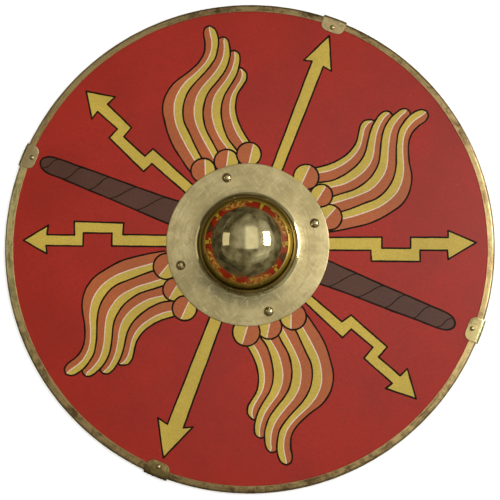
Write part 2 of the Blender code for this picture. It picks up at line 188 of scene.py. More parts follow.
def face_height(radius):
    """Height of the painted face, a shallow spherical cap."""
    drop = math.sqrt(DISH_RADIUS ** 2 - PLANED_INNER ** 2)
    return BACK_LEVEL + BOARD_THICKNESS + math.sqrt(DISH_RADIUS ** 2 - radius ** 2) - drop


def on_face(radius, lift):
    """Radius and height of a point above the painted face."""
    return radius, face_height(radius) + lift


def back_height(radius):
    """Height of the board's back, planed flat along the edge."""
    return max(BACK_LEVEL, face_height(radius) - BOARD_THICKNESS)


def face_slope(radius):
    return math.asin(radius / DISH_RADIUS)


def face_normal(x, y):
    return Vector((x, y, math.sqrt(DISH_RADIUS ** 2 - x * x - y * y))).normalized()


def arc(centre_x, centre_z, radius, start, end, steps):
    """Points of an arc in a profile, from start to end in degrees."""
    points = []
    for step in range(steps + 1):
        angle = math.radians(start + (end - start) * step / steps)
        points.append((centre_x + radius * math.cos(angle), centre_z + radius * math.sin(angle)))
    return points


def ripple(place, scale, seed=0.0):
    """Smooth deterministic unevenness, about -1 to 1."""
    return noise.noise(Vector(place) * scale + Vector((seed, 1.7 * seed, 0.0)))


def set_up(item, **settings):
    """Gives an item the named settings."""
    for name, value in settings.items():
        setattr(item, name, value)
    return item


def add_object(name, data):
    """Puts an object with its mesh, lamp or lens in the scene."""
    item = bpy.data.objects.new(name, data)
    bpy.context.scene.collection.objects.link(item)
    return item


def add_piece(name, mesh, node, slot, *materials):
    """Puts a mesh in the scene in place of a node of the part."""
    piece = add_object(name, mesh)
    for material in materials:
        mesh.materials.append(material)
    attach(piece, BODY)
    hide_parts(node)
    return piece


# Lines of the painted design

def smooth_line(points):
    """Evenly fine points on a smooth curve through the given ones."""
    given = [Vector(point) for point in points]
    padded = [2 * given[0] - given[1]] + given + [2 * given[-1] - given[-2]]
    line = []
    for before, start, end, after in zip(padded, padded[1:], padded[2:], padded[3:]):
        one = (start - before).length ** 0.5
        two = (end - start).length ** 0.5
        three = (after - end).length ** 0.5
        leave = (end - start) + two * ((start - before) / one - (end - before) / (one + two))
        arrive = (end - start) + two * ((after - end) / three - (after - start) / (two + three))
        count = max(1, math.ceil((end - start).length / SMOOTH_STEP))
        for index in range(count):
            t = index / count
            bend = (2 * t ** 3 - 3 * t ** 2 + 1) * start + (t ** 3 - 2 * t ** 2 + t) * leave
            bend += (3 * t ** 2 - 2 * t ** 3) * end + (t ** 3 - t ** 2) * arrive
            line.append(bend)
    line.append(given[-1])
    return line


def straight_line(points):
    """Fine points along straight sides, with the corners kept."""
    line = []
    for start, end in zip(points, points[1:]):
        start, end = Vector(start), Vector(end)
        count = max(1, math.ceil((end - start).length / STRAIGHT_STEP))
        line += [start.lerp(end, index / count) for index in range(count)]
    line.append(Vector(points[-1]))
    return line


def under_boss(line):
    """Runs both ends of a line on under the flange."""
    first = line[0] + (line[0] - line[1]).normalized() * UNDER_FLANGE
    last = line[-1] + (line[-1] - line[-2]).normalized() * UNDER_FLANGE
    return [first] + line + [last]


def turned(points):
    """The same points a half-turn round the design's centre."""
    return [(-x, -y) for x, y in points]


def line_lengths(line):
    """How far each point is from the line's start, along the line."""
    lengths = [0.0]
    for start, end in zip(line, line[1:]):
        lengths.append(lengths[-1] + (end - start).length)
    return lengths


def along_line(line, share):
    """Point at a share of a line's length."""
    lengths = line_lengths(line)
    target = share * lengths[-1]
    for index in range(1, len(line)):
        if lengths[index] >= target:
            span = lengths[index] - lengths[index - 1]
            return line[index - 1].lerp(line[index], (target - lengths[index - 1]) / span)
    return line[-1]


class Design:
    """Fills and brush lines in the order they are painted, in metres on the board."""

    def __init__(self):
        self.layers = []

    def place(self, points):
        """Moves points to the board, with the small waver of a hand-held brush."""
        placed = []
        for point in points:
            x = point[0] + DESIGN_CENTRE[0]
            y = point[1] + DESIGN_CENTRE[1]
            waver_x = ripple((x, y, 0.0), 0.045, 3.1) + 0.5 * ripple((x, y, 0.0), 0.16, 5.3)
            waver_y = ripple((x, y, 0.0), 0.045, 7.7) + 0.5 * ripple((x, y, 0.0), 0.16, 9.9)
            placed.append(Vector(((x + WOBBLE * waver_x) * MM, (y + WOBBLE * waver_y) * MM)))
        return placed

    def fill(self, paint, points):
        self.layers.append((paint, self.place(points), None, True))

    def stroke(self, paint, points, half_width, closed=False):
        line = self.place(points)
        halves = [half_width * (1.0 + 0.22 * ripple((*point, 0.0), 85.0, 2.0)) * MM for point in line]
        self.layers.append((paint, line, halves, closed))


def draw_arrows(design):
    for pair in (LONG_ARROWS, STEPPED_ARROWS, ZIGZAG_ARROWS):
        for points in (pair[0], turned(pair[1])):
            outline = under_boss(straight_line(points))
            design.fill(OCHRE, outline)
            design.stroke(BLACK, outline, OUTLINE)


def draw_bolt(design, half_turn, length):
    outline = [(x * length, y) for x, y in BOLT]
    if half_turn:
        outline = turned(outline)
    outline = under_boss(smooth_line(outline))
    design.fill(BROWN, outline)
    for start, end in BOLT_SPIRALS:
        start, end = (start[0] * length, start[1]), (end[0] * length, end[1])
        bend = [start, (start[0] - 11.0, start[1] + 0.6), (end[0] + 13.0, end[1] + 0.6), end]
        if half_turn:
            bend = turned(bend)
        bend = [Vector(point) for point in bend]
        line = []
        for step in range(25):
            t = step / 24
            point = (1 - t) ** 3 * bend[0] + 3 * t * (1 - t) ** 2 * bend[1]
            line.append(point + 3 * t * t * (1 - t) * bend[2] + t ** 3 * bend[3])
        design.stroke(BLACK, line, SPIRAL_LINE)
    design.stroke(BLACK, outline, OUTLINE)


def nearest_index(line, point):
    return min(range(len(line)), key=lambda index: (line[index] - point).length)


def draw_wing(design, wing, scallops):
    """Four feathers from the innermost out, and the scallops over their roots."""
    along_sign, across_sign, shift_along, shift_across = wing
    angle = math.radians(WING_AXIS)
    along = Vector((math.cos(angle), math.sin(angle))) * along_sign
    across = Vector((-math.sin(angle), math.cos(angle))) * across_sign

    def to_design(points):
        return [(point[0] + shift_across) * across + (point[1] + shift_along) * along for point in points]

    edges = [smooth_line(points) for points in FEATHER_EDGES]
    roots = [Vector((middle[0], middle[1])) for middle in scallops[::-1]]
    splits = []
    for number in range(4, 0, -1):
        inner = edges[number]
        join = nearest_index(edges[number - 1], inner[-1])
        outer = edges[number - 1][:join + 1]
        root = roots[max(0, number - 2):number][::-1]
        design.fill(ORANGE, to_design(inner + outer[::-1] + root[::-1]))
        peak = max(range(len(inner)), key=lambda index: inner[index].y)
        left = inner[:peak + 1]
        right = outer + inner[peak:][::-1]
        start_share, middle_share, end_share = FEATHER_SPLITS[number - 1]
        split = []
        for step in range(61):
            t = step / 60
            share = start_share + (middle_share - start_share) * min(1.0, 2 * t)
            share += (end_share - middle_share) * max(0.0, 2 * t - 1)
            split.append(along_line(left, t).lerp(along_line(right, t), share))
        design.fill(OCHRE, to_design(left + split[::-1]))
        splits.append(split[:-1])
    for split in splits:
        design.stroke(PALE, to_design(split), PALE_LINE)
    for line in edges:
        design.stroke(BLACK, to_design(line), OUTLINE)
    for x, y, radius, top, bottom in scallops[::-1]:
        circle = [point + Vector((x, y)) for point in circle_points(radius, 48)]
        top, bottom = Vector(top), Vector(bottom)
        slant = (bottom - top).normalized()
        low = bottom + slant * radius
        high = top - slant * 3.0
        design.fill(ORANGE, to_design(circle))
        side = [point for point in circle if (point - top).cross(slant) > 0]
        side.sort(key=lambda point: (point - high).dot(slant))
        side = [point for point in side if point.x < max(high.x, low.x) + radius]
        design.fill(OCHRE, to_design([high] + side + [low]))
        design.stroke(PALE, to_design([top, top.lerp(low, 0.5), low]), PALE_LINE)
        design.stroke(BLACK, to_design(circle), OUTLINE, closed=True)


def draw_design():
    design = Design()
    draw_bolt(design, False, 1.006)
    draw_bolt(design, True, 0.985)
    draw_arrows(design)
    for wing, scallops in zip(WINGS, SCALLOPS):
        draw_wing(design, wing, scallops)
    return design.layers


def line_side(line, halves, closed, side):
    """One side of a brush line, rounded where the line turns sharply away from it."""
    count = len(line)
    points = []
    for index in range(count):
        before = line[index - 1] if index or closed else line[0] * 2 - line[1]
        after = line[(index + 1) % count] if index < count - 1 or closed else line[-1] * 2 - line[-2]
        arrive = (line[index] - before).normalized()
        leave = (after - line[index]).normalized()
        first = Vector((-arrive.y, arrive.x)) * side
        second = Vector((-leave.y, leave.x)) * side
        turn = math.atan2(arrive.cross(leave), arrive.dot(leave))
        if turn * side < -0.45:
            steps = math.ceil(abs(turn) / 0.4)
            for step in range(steps + 1):
                spin = Matrix.Rotation(turn * step / steps, 2)
                points.append(line[index] + spin @ first * halves[index])
        else:
            points.append(line[index] + (first + second) / (1.0 + first.dot(second)) * halves[index])
    return points


def loop_edges(first, count):
    """Each number of a closed loop with the one that follows it."""
    return [(first + step, first + (step + 1) % count) for step in range(count)]


def circle_points(radius, steps):
    return [Vector((radius * math.cos(math.tau * step / steps), radius * math.sin(math.tau * step / steps)))
            for step in range(steps)]


def inside_outline(points, outline):
    """Which of the points lie inside a closed outline."""
    x, y = points[:, 0], points[:, 1]
    inside = np.zeros(len(points), dtype=bool)
    for start, end in zip(outline, outline[1:] + outline[:1]):
        if start.y == end.y:
            continue
        crosses = (start.y > y) != (end.y > y)
        inside ^= crosses & (x < (end.x - start.x) * (y - start.y) / (end.y - start.y) + start.x)
    return inside


def near_line(points, line, halves, closed):
    """Which of the points a brush line covers."""
    near = np.zeros(len(points), dtype=bool)
    last = len(line) if closed else len(line) - 1
    for index in range(last):
        start, end = np.array(line[index]), np.array(line[(index + 1) % len(line)])
        wide, narrow = halves[index], halves[(index + 1) % len(line)]
        run = end - start
        share = np.clip(((points - start) @ run) / (run @ run), 0.0, 1.0)
        away = points - (start + share[:, None] * run)
        near |= (away ** 2).sum(axis=1) < (wide + (narrow - wide) * share) ** 2
    return near


def paint_of_points(points, layers):
    """The paint that shows at each point, later layers over earlier ones."""
    paints = np.full(len(points), RED)
    for paint, line, halves, closed in layers:
        margin = max(halves) if halves else 0.0
        low = np.array([min(point[axis] for point in line) - margin for axis in range(2)])
        high = np.array([max(point[axis] for point in line) + margin for axis in range(2)])
        near = np.nonzero(((points > low) & (points < high)).all(axis=1))[0]
        if halves:
            covered = near_line(points[near], line, halves, closed)
        else:
            covered = inside_outline(points[near], line)
        paints[near[covered]] = paint
    return paints


def divide_face(layers):
    """Triangles of the painted face, cut along every brush line, with the paint of each."""
    points = circle_points(FACE_RADIUS, RING_STEPS) + circle_points(HOLE_RADIUS, RING_STEPS)
    edges = loop_edges(0, RING_STEPS) + loop_edges(RING_STEPS, RING_STEPS)
    for paint, line, halves, closed in layers:
        if not halves:
            continue
        left = line_side(line, halves, closed, 1)
        right = line_side(line, halves, closed, -1)
        for loop in [left, right] if closed else [left + right[::-1]]:
            edges += loop_edges(len(points), len(loop))
            points += loop
    for ring in range(1, 17):
        radius = HOLE_RADIUS + (FACE_RADIUS - HOLE_RADIUS) * ring / 17
        points += circle_points(radius, max(24, round(math.tau * radius / 0.018)))
    flat, _, faces, _, _, _ = delaunay_2d_cdt(points, edges, [], 0, 1e-7)
    flat = np.array([tuple(point) for point in flat])
    faces = np.array(faces)
    middles = flat[faces].mean(axis=1)
    kept = np.hypot(middles[:, 0], middles[:, 1]) > HOLE_RADIUS * math.cos(math.pi / RING_STEPS)
    return flat, faces[kept], paint_of_points(middles[kept], layers)


def make_board(materials):
    """The board: painted face, rounded edge, planed back and the wall of the hand hole."""
    flat, faces, paints = divide_face(draw_design())
    radii = np.hypot(flat[:, 0], flat[:, 1])
    vertices = [(x, y, face_height(radius)) for (x, y), radius in zip(flat.tolist(), radii.tolist())]
    all_faces = [tuple(face) for face in faces.tolist()]
    face_count = len(all_faces)

    def ring_of_face(radius):
        members = np.nonzero(np.abs(radii - radius) < 2e-7)[0]
        angles = np.arctan2(flat[members, 1], flat[members, 0]) % math.tau
        return members[np.argsort(np.round(angles, 6))].tolist()

    profile = arc(FACE_RADIUS, face_height(FACE_RADIUS) - BOARD_EDGE_ROUND, BOARD_EDGE_ROUND, 90, 0, 4)[1:]
    profile += arc(FACE_RADIUS, BACK_LEVEL + BOARD_EDGE_ROUND, BOARD_EDGE_ROUND, 0, -90, 4)
    for share in (0.0, 0.25, 0.5, 0.75, 1.0):
        radius = PLANED_INNER + (HOLE_RADIUS + 0.001 - PLANED_INNER) * share
        profile.append((radius, back_height(radius)))
    profile.append((HOLE_RADIUS, back_height(HOLE_RADIUS) + 0.001))
    rings = [ring_of_face(FACE_RADIUS)]
    for radius, height in profile:
        first = len(vertices)
        vertices += [(point.x, point.y, height) for point in circle_points(radius, RING_STEPS)]
        rings.append(list(range(first, first + RING_STEPS)))
    rings.append(ring_of_face(HOLE_RADIUS))
    for outer, inner in zip(rings, rings[1:]):
        for step, after in loop_edges(0, RING_STEPS):
            all_faces.append((outer[step], inner[step], inner[after], outer[after]))
    mesh = mesh_from("board_painted", vertices, all_faces)
    bare_count = len(all_faces) - face_count
    mesh.polygons.foreach_set("material_index", paints.tolist() + [BARE] * bare_count)
    tidy_mesh(mesh, 35)
    add_piece("board_painted", mesh, "board", "painted_board", *materials)
    normals = [tuple(normal.vector) for normal in mesh.corner_normals]
    for polygon in mesh.polygons[:face_count]:
        for corner in polygon.loop_indices:
            place = mesh.vertices[mesh.loops[corner].vertex_index].co
            normals[corner] = tuple(face_normal(place.x, place.y))
    mesh.normals_split_custom_set(normals)


def mesh_from(name, vertices, faces):
    """A new mesh of the given points and faces."""
    mesh = bpy.data.meshes.new(name)
    mesh.from_pydata(vertices, [], faces)
    mesh.update()
    return mesh


def grid_faces(rows, length, first=0, closed=True):
    """Faces between rows of points that follow each other, closed where a row is a ring."""
    faces = []
    for one in range(first, first + (rows - 1) * length, length):
        for step, after in loop_edges(one, length)[:length if closed else length - 1]:
            faces.append((step, step + length, after + length, after))
    return faces


def turned_mesh(name, profile, steps, shift=None):
    """A closed surface of revolution about Z from a profile whose ends lie on the axis."""
    vertices = [(0.0, 0.0, profile[0][1])]
    for radius, height in profile[1:-1]:
        vertices += [(point.x, point.y, height) for point in circle_points(radius, steps)]
    vertices.append((0.0, 0.0, profile[-1][1]))
    last = len(vertices) - 1
    faces = grid_faces(len(profile) - 2, steps, first=1)
    for step, after in loop_edges(0, steps):
        faces += [(0, 1 + step, 1 + after), (last, last - steps + after, last - steps + step)]
    if shift:
        vertices = [shift(Vector(vertex)) for vertex in vertices]
    mesh = mesh_from(name, vertices, faces)
    mesh.shade_smooth()
    return mesh


def tidy_mesh(mesh, sharp_degrees):
    """Faces outwards, smooth shading with sharp folds, and caps cut into triangles."""
    shape = bmesh.new()
    shape.from_mesh(mesh)
    bmesh.ops.recalc_face_normals(shape, faces=shape.faces)
    many = [face for face in shape.faces if len(face.verts) > 4]
    bmesh.ops.triangulate(shape, faces=many)
    shape.to_mesh(mesh)
    shape.free()
    mesh.shade_smooth()
    mesh.set_sharp_from_angle(angle=math.radians(sharp_degrees))


def share_of(value, low, high):
    """How far a value is from low to high, from 0 to 1."""
    return min(max((value - low) / (high - low), 0.0), 1.0)


def smooth_share(value, low, high):
    share = share_of(value, low, high)
    return share * share * (3 - 2 * share)


def boss_waver(place):
    """Small dents left in the flange by the hammer, strongest along its lower side."""
    radius = math.hypot(place.x, place.y)
    share = share_of(radius, 0.068, 0.080)
    if share == 0.0:
        return place
    low_side = max(0.0, math.cos(math.atan2(place.y, place.x) + math.radians(72))) ** 2
    lift = 0.5 + 0.5 * ripple(place, 38.0, 1.0) + (0.2 + 0.9 * low_side) * ripple(place, 95.0, 4.0)
    edge = 1.0 + 0.0022 * ripple((place.x / radius, place.y / radius, 0.0), 2.4, 6.0) * share
    return Vector((place.x * edge, place.y * edge, place.z + max(0.0, lift) * 0.00022 * share))


def dome_profile(top, steps=72):
    """Outside of the dome from its top to its wall: nearly a ball, a little steeper at the shoulder."""
    points = [(0.0, top)]
    for step in range(1, steps + 1):
        slope = 90.0 * step / steps
        curve = DOME_CURVE + (WALL_RADIUS - DOME_CURVE) * smooth_share(slope, 50.0, 75.0)
        curve -= SHOULDER_DROP * math.exp(-((slope - 49.0) / 9.0) ** 2)
        radius = curve * math.sin(math.radians(slope))
        middle = math.radians(90.0 * (step - 0.5) / steps)
        points.append((radius, points[-1][1] - (radius - points[-1][0]) * math.tan(middle)))
    return points


def foot_profile(base):
    """The hollow curve at the dome's foot, which runs out softly into the flange."""
    slopes = FOOT_SLOPES[::-1]
    points = [(slopes[0][0], base)]
    for (last, before), (radius, slope) in zip(slopes, slopes[1:]):
        steep = math.radians((slope + before) / 2)
        points.append((radius, points[-1][1] + (last - radius) * math.tan(steep)))
    out, up = points[-1]
    start = slopes[-1][1]
    bend = (out - WALL_RADIUS) / (1.0 - math.sin(math.radians(start)))
    low = up - bend * (1.0 - math.cos(math.radians(start)))
    curve = arc(WALL_RADIUS + bend, low + bend, bend, 180, 270 - start, 18)
    return curve[:-1] + points[::-1]


def flat_points(start, end, steps, lift):
    """Points that follow the board's face at a height above it, between two radii."""
    return [on_face(start + (end - start) * step / steps, lift) for step in range(1, steps + 1)]


def make_boss(material):
    """The spun boss with a rolled-over edge to its flange."""
    centre = face_height(DOME_RADIUS) + FLANGE_LIFT + BOSS_WALL_HEIGHT
    profile = dome_profile(centre + DOME_RADIUS - 0.00001)
    foot = foot_profile(face_height(FOOT_SLOPES[-1][0]) + FLANGE_LIFT)
    profile.append((WALL_RADIUS, (profile[-1][1] + foot[0][1]) / 2))
    profile += foot
    start = profile[-1][0]
    flat_end = FLANGE_RADIUS - 0.0007
    profile += flat_points(start, flat_end, 12, FLANGE_LIFT)
    edge_middle = face_height(flat_end) + GAP + BOSS_SHEET / 2
    profile += arc(flat_end, edge_middle, BOSS_SHEET / 2, 90, -90, 6)[1:]
    profile += flat_points(flat_end, start, 6, GAP)[:-1]
    inner_base = face_height(HOLE_RADIUS) + GAP
    inner_fillet = BOSS_FILLET + BOSS_SHEET
    profile += arc(HOLE_RADIUS + inner_fillet, inner_base + inner_fillet, inner_fillet, 270, 180, 8)
    profile += arc(0.0, centre, HOLE_RADIUS, 0, 90, 24)
    profile[-1] = (0.0, centre + HOLE_RADIUS)
    mesh = turned_mesh("boss_polished", profile, BOSS_STEPS, boss_waver)
    add_piece("boss_polished", mesh, "boss", "boss_brass", material)


def domed_profile(diameter, height, steps, lip):
    """A domed head with a small rounded lip, from its top to its underside."""
    half = diameter / 2
    radius = (half ** 2 + (height - lip) ** 2) / (2 * (height - lip))
    rim = math.degrees(math.asin((radius - height + lip) / radius))
    points = arc(0.0, GAP + height - radius, radius, 90, rim, steps)
    points[0] = (0.0, GAP + height)
    return points + [(half + 0.00004, GAP + lip * 0.5), (half - 0.0001, GAP)]


def add_fastener(name, node, profile, steps, radius, height, slope, degrees, material):
    """A turned rivet or pin, set in its seat so that it leans outwards."""
    mesh = turned_mesh(name, profile, steps)
    mesh.set_sharp_from_angle(angle=math.radians(50))
    angle = math.radians(degrees)
    turn = Matrix.Rotation(angle, 4, "Z") @ Matrix.Rotation(slope, 4, "Y")
    seat = Matrix.Translation((radius * math.cos(angle), radius * math.sin(angle), height))
    mesh.transform(seat @ turn)
    mesh.update()
    add_piece(name, mesh, node, "rivet_brass", material)


def make_rivets(material):
    height = face_height(RIVET_RADIUS) + FLANGE_LIFT
    for index, degrees in enumerate(RIVET_DIRECTIONS):
        stack = FLANGE_LIFT + BOARD_THICKNESS + GAP
        if index % 2 == 0:
            stack += GRIP_END_THICKNESS + GAP
        profile = domed_profile(0.0120, 0.0036, 8, 0.0004)
        profile += [(0.0025, GAP), (0.0025, -stack), (0.0045, -stack), (0.00475, -stack - 0.0004)]
        profile += [(0.0040, -stack - 0.0012), (0.0020, -stack - 0.0014), (0.0, -stack - 0.0014)]
        add_fastener(f"boss_rivet_head_{index + 1}", f"boss_rivet_{index + 1}", profile, 32,
                     RIVET_RADIUS, height, face_slope(RIVET_RADIUS), degrees, material)


def clip_ends():
    """Where the flat part of a clip's outer surface starts and ends, as radius and height."""
    return Vector(on_face(CLIP_INNER, GAP + SHEET)), Vector(on_face(STRIP_INNER, CLIP_LIFT))


def make_pins(material):
    inner, outer = clip_ends()
    height = inner.lerp(outer, (PIN_RADIUS - inner.x) / (outer.x - inner.x)).y
    slope = math.atan2(inner.y - outer.y, outer.x - inner.x)
    profile = domed_profile(0.0058, 0.0018, 7, 0.0002) + [(0.0011, GAP), (0.0011, -0.0062), (0.0, -0.0068)]
    for index, degrees in enumerate(CLIP_DIRECTIONS):
        add_fastener(f"clip_pin_domed_{index + 1}", f"clip_pin_{index + 1}", profile, 24,
                     PIN_RADIUS, height, slope, degrees, material)


def edge_section(lift, steps=6):
    """The board's rounded edge from face to back, as a line that lies lift outside it."""
    radius = BOARD_EDGE_ROUND + lift
    front = arc(FACE_RADIUS, face_height(FACE_RADIUS) - BOARD_EDGE_ROUND, radius, 90, 0, steps)
    return front + arc(FACE_RADIUS, BACK_LEVEL + BOARD_EDGE_ROUND, radius, 0, -90, steps)


def strip_section(outer_lift, inner_lift):
    """Closed section of the folded edging, with rounded lips."""
    face = face_height(STRIP_INNER)
    outside = [(STRIP_INNER + 0.0003, face + outer_lift), on_face(FACE_RADIUS - 0.002, outer_lift)]
    outside += edge_section(outer_lift) + [(STRIP_INNER + 0.0003, BACK_LEVEL - outer_lift)]
    inside = [(STRIP_INNER + 0.0002, BACK_LEVEL - inner_lift)] + edge_section(inner_lift, 3)[::-1]
    inside += [(STRIP_INNER + 0.0002, face + inner_lift)]
    middle = (outer_lift + inner_lift) / 2
    return outside + [(STRIP_INNER, BACK_LEVEL - middle)] + inside + [(STRIP_INNER, face + middle)]


def make_strips(materials):
    """Four strips folded over the edge, a little uneven where they were tapped down."""
    section = strip_section(STRIP_LIFT - 0.00016, GAP - 0.0001)
    count = len(section)
    half_joint = math.degrees(0.0003 / BOARD_RADIUS)
    steps = STRIP_STEPS
    for index, (start, reach) in enumerate(zip(CLIP_DIRECTIONS, STRIP_REACHES)):
        span = (CLIP_DIRECTIONS[(index + 1) % 4] - start) % 360.0 - 2 * half_joint
        vertices = []
        for step in range(steps + 1):
            angle = math.radians(start + half_joint + span * step / steps)
            around = Vector((math.cos(angle), math.sin(angle), 0.0))
            clear_of_pin = min(1.0, min(step, steps - step) / 3)
            for straight, height in section:
                place = around * straight
                inward = share_of(FACE_RADIUS - straight, 0.0, 0.004)
                radius = straight + inward * clear_of_pin * (0.00035 * ripple(place, 26.0, 8.0) - reach)
                radius += 0.00012 * inward * ripple(place, 150.0, 2.0)
                if height > BACK_LEVEL + 0.004:
                    height += face_height(radius) - face_height(straight)
                    height += 0.00012 * (ripple(place, 60.0, 5.0) + 0.6 * ripple(place, 190.0, 1.0))
                vertices.append((around.x * radius, around.y * radius, height))
        faces = grid_faces(steps + 1, count) + [tuple(range(count))]
        faces.append(tuple(range(len(vertices) - count, len(vertices)))[::-1])
        name = f"rim_strip_folded_{index + 1}"
        mesh = mesh_from(name, vertices, faces)
        tidy_mesh(mesh, 40)
        add_piece(name, mesh, f"rim_strip_{index + 1}", "edging_brass", materials[index])


def clip_line():
    """Side view of a clip's outer surface, from its inner end over the edging to the back."""
    inner, outer = clip_ends()
    edge = [Vector(point) for point in edge_section(CLIP_LIFT, 8)]
    back = Vector((CLIP_INNER, BACK_LEVEL - CLIP_LIFT))
    line = [inner.lerp(outer, step / 10) for step in range(11)] + [outer.lerp(edge[0], 0.5)] + edge
    line += [edge[-1].lerp(back, step / 10) for step in range(1, 11)]
    for point in line:
        point.x += CLIP_SLACK * smooth_share(point.x, STRIP_INNER, FACE_RADIUS + 0.002)
    return line


def clip_half_width(distance):
    """Half of a clip's width, at a distance from either end along its sheet."""
    if distance >= CLIP_CORNER:
        return CLIP_HALF_WIDTH
    drop = CLIP_CORNER - distance
    return CLIP_HALF_WIDTH - CLIP_CORNER + math.sqrt(max(CLIP_CORNER ** 2 - drop ** 2, 0.0))


def make_clips(materials):
    """Clips of sheet folded over the joints, a little dented."""
    line = clip_line()
    lengths = line_lengths(line)
    for index, degrees in enumerate(CLIP_DIRECTIONS):
        vertices = []
        for point, length in zip(line, lengths):
            half = clip_half_width(min(length, lengths[-1] - length))
            for step in range(CLIP_STEPS + 1):
                across = half * (2 * step / CLIP_STEPS - 1)
                angle = math.radians(degrees) + across / point.x
                height = point.y
                if length < 0.016:
                    height += 0.00016 * (ripple((point.x, across, 0.0), 210.0, 3.0 * index)
                                         + ripple((point.x, across, 0.0), 90.0, 5.0 * index + 2.0))
                vertices.append((point.x * math.cos(angle), point.x * math.sin(angle), height))
        name = f"rim_clip_folded_{index + 1}"
        mesh = mesh_from(name, vertices, grid_faces(len(line), CLIP_STEPS + 1, closed=False))
        piece = add_piece(name, mesh, f"rim_clip_{index + 1}", "clip_brass", materials[index])
        set_up(piece.modifiers.new("Sheet", "SOLIDIFY"), thickness=SHEET, offset=-1.0)
        set_up(piece.modifiers.new("Worn edge", "BEVEL"), width=0.00025, segments=2, limit_method="ANGLE",
               angle_limit=math.radians(50))
        mesh = bpy.data.meshes.new_from_object(piece.evaluated_get(bpy.context.evaluated_depsgraph_get()))
        piece.modifiers.clear()
        piece.data = mesh
        mesh.name = piece.name
        tidy_mesh(mesh, 40)


def squared(value, power):
    """A sine or cosine that makes a circle squarer as the power falls."""
    return math.copysign(abs(value) ** power, value)


def grip_section(along):
    """Bottom, height, width and squareness of the grip's section."""
    bottom = back_height(max(abs(along), HOLE_RADIUS)) - GAP - GRIP_END_THICKNESS
    share = smooth_share(abs(along), GRIP_SWELL_START, GRIP_SWELL_START + 0.022)
    height = GRIP_END_THICKNESS * share + 0.026 * (1 - share)
    width = 0.030 * share + 0.028 * (1 - share)
    end = max(0.0, abs(along) - (GRIP_HALF_LENGTH - GRIP_END_ROUND))
    trim = GRIP_END_ROUND - math.sqrt(max(GRIP_END_ROUND ** 2 - end ** 2, 0.0))
    squareness = 9.0 * share + 2.2 * (1 - share)
    return bottom + trim, height - 2 * trim, width - 2 * trim, squareness


def make_grip(material):
    """The wooden bar behind the hand hole, carved round for the hand."""
    half = [0.0035 * step for step in range(8)]
    half += [GRIP_SWELL_START + 0.0022 * step for step in range(11)]
    half += [0.057, 0.065, 0.073, 0.082, 0.091]
    half += [GRIP_HALF_LENGTH - GRIP_END_ROUND * (1 - math.sin(math.pi / 2 * step / 5)) for step in range(6)]
    stations = [-along for along in half[:0:-1]] + half
    vertices = []
    for along in stations:
        bottom, height, width, squareness = grip_section(along)
        for step in range(GRIP_STEPS):
            angle = math.tau * (step + 0.5) / GRIP_STEPS
            across = squared(math.cos(angle), 2 / squareness)
            up = squared(math.sin(angle), 2 / squareness)
            carved = 1.0 + 0.012 * ripple((along * 0.6, across * 0.01, up * 0.01), 120.0, 3.0)
            level = bottom + (1 + up * min(carved, 1.0)) * height / 2
            vertices.append((along, across * carved * width / 2, level))
    faces = grid_faces(len(stations), GRIP_STEPS) + [tuple(range(GRIP_STEPS))[::-1]]
    faces.append(tuple(range(len(vertices) - GRIP_STEPS, len(vertices))))
    mesh = mesh_from("grip_carved", vertices, faces)
    tidy_mesh(mesh, 40)
    mesh.transform(Matrix.Rotation(math.radians(GRIP_DIRECTION), 4, "Z"))
    add_piece("grip_carved", mesh, "grip", "grip_wood", material)


# Materials

def scaled(colour, factor):
    return tuple(min(1.0, value * factor) for value in colour)


